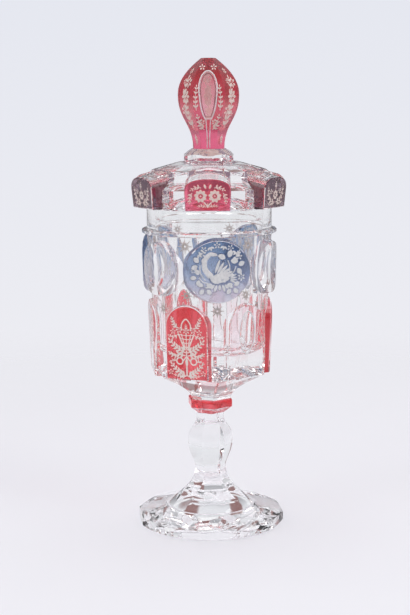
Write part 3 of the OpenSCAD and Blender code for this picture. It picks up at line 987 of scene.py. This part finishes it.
# painted highlight along the rim of the almond window, and a painted shade line just inside it
painted_window_rim_highlight = cut_flat(almond_line, lid_glass, EDGE_LINE)
painted_window_shade = cut_flat(almond_line, lid_glass, SHADE_LINE, SHADE_INWARD, finish=painted_shade_line)
neck = cut_flat(neck_lines)
for i in THREE:
    lid_cuts_and_painted_highlight_and_shade.lay(flowers, TURN[f"lid_ruby_panel_{i}"], RIM_Z + PANEL_FOOT)
    lid_cuts_and_painted_highlight_and_shade.lay(garland, TURN[f"lid_blue_panel_{i}"], RIM_Z + PANEL_FOOT)
    lid_cuts_and_painted_highlight_and_shade.lay(spray, TURN[f"lid_blue_panel_{i}"], FINIAL_Z)
    for lines in (leaves, painted_window_rim_highlight, painted_window_shade, neck):
        lid_cuts_and_painted_highlight_and_shade.lay(lines, TURN[f"lid_ruby_panel_{i}"], FINIAL_Z)
lid_cuts_and_painted_highlight_and_shade.finish("lid_engraving_and_painted_highlight_and_shade", "lid")

# Studio, light and camera, in metres

# the photograph's view: place of the lens, and its turns in degrees
LENS_AWAY, LENS_HEIGHT, LENS_TURN, PITCH, ROLL = 0.823, 0.270, -7.5, 8.9, 0.35

# focal length, height of the frame and how far the lens points off the axis, in pixels of the photograph
FOCAL, FRAME_HIGH, OFF_AXIS = 1285.0, 615.0, 4.7
# height of the camera's sensor, in millimetres
SENSOR_HIGH = 36.0

# the paper lies a hair below the foot, so that a film of air stays between them
PAPER_Z, PAPER_R = -0.2 * MM, 1.2
FADE_START, FADE_END = 0.2, 0.8

# dark screens that stand round the room: their number, where on a wave they are dark and where open,
# their colour, and how far over the horizon they start
SCREENS, SCREEN_DARK, SCREEN_OPEN = 8.0, -0.55, -0.30
SCREEN_COLOUR, SCREEN_START = (0.27, 0.14, 0.135, 1.0), 0.03


def studio_paper():
    """Pale matt paper that fades into the even surround away from the goblet,
    and doesn't hide it from below."""
    material, tree = new_material("studio_paper")
    shade = ramp(tree, noise(tree, scale=3.0, detail=2.0),
                 [(0.2, (0.80, 0.795, 0.83)), (0.8, (0.82, 0.815, 0.85))])
    paper = node(tree, "ShaderNodeBsdfDiffuse", {"Color": shade})
    place = node(tree, "ShaderNodeTexCoord")
    away = node(tree, "ShaderNodeVectorMath", {0: place.outputs["Object"]}, operation="LENGTH")
    fade = node(tree, "ShaderNodeMapRange", {"Value": away, "From Min": FADE_START, "From Max": FADE_END},
                interpolation_type="SMOOTHSTEP")
    under = node(tree, "ShaderNodeNewGeometry")
    gone = node(tree, "ShaderNodeMath", {0: fade, 1: under.outputs["Backfacing"]}, operation="MAXIMUM")
    clear = node(tree, "ShaderNodeBsdfTransparent")
    mix = node(tree, "ShaderNodeMixShader", {"Fac": gone, 1: paper, 2: clear})
    node(tree, "ShaderNodeOutputMaterial", {"Surface": mix})
    return material


def paper_floor():
    """Round sheet of paper under the goblet."""
    bm = bmesh.new()
    bmesh.ops.create_circle(bm, cap_ends=True, radius=PAPER_R, segments=96)
    bmesh.ops.translate(bm, verts=bm.verts, vec=(0, 0, PAPER_Z))
    paper = object_of(bm, "paper_floor", [studio_paper()])


def soft_box(name, at, aim, size, power, mirrored=True):
    """Lamp behind a white sheet. Polished faces show it if it is to be mirrored."""
    lamp = bpy.data.lights.new(name, "AREA")
    lamp.shape = "RECTANGLE"
    lamp.size, lamp.size_y = size
    lamp.energy = power
    holder = placed(name, lamp)
    holder.location = at
    holder.rotation_euler = (Vector(aim) - Vector(at)).to_track_quat("-Z", "Y").to_euler()
    holder.visible_glossy = mirrored


def studio_room():
    """Even pale surround for the eye, also behind glass, where narrow dark screens stand between the pale
    walls and give the cut edges their lines. Polished faces mirror a plain room with a bright ceiling."""
    room = bpy.data.worlds.new("studio_room")
    room.use_nodes = True
    tree = room.node_tree
    tree.nodes.clear()
    place = node(tree, "ShaderNodeTexCoord")
    split = node(tree, "ShaderNodeSeparateXYZ", {"Vector": place.outputs["Generated"]}).outputs
    lift = node(tree, "ShaderNodeMapRange", {"Value": split["Z"], "From Min": -1.0})
    even = ramp(tree, lift, [(0.36, (0.86, 0.855, 0.895)), (0.56, (0.78, 0.80, 0.87))])
    walls = ramp(tree, lift, [(0.40, (0.84, 0.84, 0.88)), (0.66, (0.76, 0.77, 0.81)),
                              (0.74, (0.42, 0.42, 0.45)), (0.82, (0.42, 0.42, 0.45)),
                              (0.88, (0.95, 0.95, 0.98))])
    plain = ramp(tree, lift, [(0.40, (0.80, 0.80, 0.84)), (0.50, (0.08, 0.08, 0.09)),
                              (0.56, (0.12, 0.12, 0.13)), (0.70, (0.50, 0.50, 0.52)),
                              (1.0, (0.88, 0.88, 0.90))])
    around = node(tree, "ShaderNodeMath", {0: split["X"], 1: split["Y"]}, operation="ARCTAN2")
    turned = node(tree, "ShaderNodeMath", {
        0: around, 1: SCREENS, 2: math.radians(SCREENS / 2 * LENS_TURN)}, operation="MULTIPLY_ADD")
    wave = node(tree, "ShaderNodeMath", {0: turned}, operation="COSINE")
    gaps = node(tree, "ShaderNodeMapRange", {"Value": wave, "From Min": SCREEN_DARK, "From Max": SCREEN_OPEN})
    below = node(tree, "ShaderNodeMapRange", {"Value": split["Z"], "From Min": SCREEN_START, "From Max": 0.0})
    open_wall = node(tree, "ShaderNodeMath", {0: gaps, 1: below}, operation="MAXIMUM")
    screened = node(tree, "ShaderNodeMix", {
        "Factor": open_wall, "A": SCREEN_COLOUR, "B": walls}, data_type="RGBA")
    path = node(tree, "ShaderNodeLightPath").outputs
    shown = plain
    for colour, ray in ((screened, "Is Transmission Ray"), (even, "Is Camera Ray")):
        shown = node(tree, "ShaderNodeMix", {"Factor": path[ray], "A": shown, "B": colour}, data_type="RGBA")
    light = node(tree, "ShaderNodeBackground", {"Color": shown})
    node(tree, "ShaderNodeOutputWorld", {"Surface": light})
    bpy.context.scene.world = room


def photo_camera():
    """Camera that sees the goblet as the photograph does."""
    data = bpy.data.cameras.new("photo_camera")
    data.sensor_fit = "VERTICAL"
    data.sensor_height = data.sensor_width = SENSOR_HIGH
    data.lens = FOCAL * data.sensor_height / FRAME_HIGH
    data.clip_start, data.clip_end = 0.01, 20.0
    camera = placed("photo_camera", data)
    upright = Vector((0, 0, 1))
    spot = outward(LENS_TURN) * LENS_AWAY + upright * LENS_HEIGHT
    ahead = Matrix.Rotation(math.atan(OFF_AXIS / FOCAL), 3, "Z") @ -outward(LENS_TURN)
    right = ahead.cross(upright).normalized()
    pitch, roll = math.radians(PITCH), math.radians(ROLL)
    view = math.cos(pitch) * ahead - math.sin(pitch) * upright
    up = right.cross(view)
    up, right = math.cos(roll) * up + math.sin(roll) * right, math.cos(roll) * right - math.sin(roll) * up
    turn = Matrix((right, up, -view)).transposed().to_4x4()
    camera.matrix_world = Matrix.Translation(spot) @ turn
    bpy.context.scene.camera = camera


paper_floor()
soft_box("key_soft_box", (1.1, -0.8, 1.2), (0, 0, 0.15), (0.8, 0.9), 6.8)
soft_box("fill_soft_box", (-1.2, -0.6, 0.9), (0, 0, 0.15), (0.6, 0.9), 3.4)
soft_box("top_soft_box", (0.0, 0.2, 1.6), (0, 0, 0.1), (1.2, 0.9), 6.6, mirrored=False)
studio_room()
photo_camera()

scene = bpy.context.scene
scene.view_settings.view_transform = "Standard"
scene.cycles.max_bounces = 32
scene.cycles.transmission_bounces = 32
scene.cycles.glossy_bounces = 12
scene.cycles.transparent_max_bounces = 32
scene.cycles.sample_clamp_indirect = 4.0
scene.cycles.blur_glossy = 0.3

bpy.context.view_layer.update()
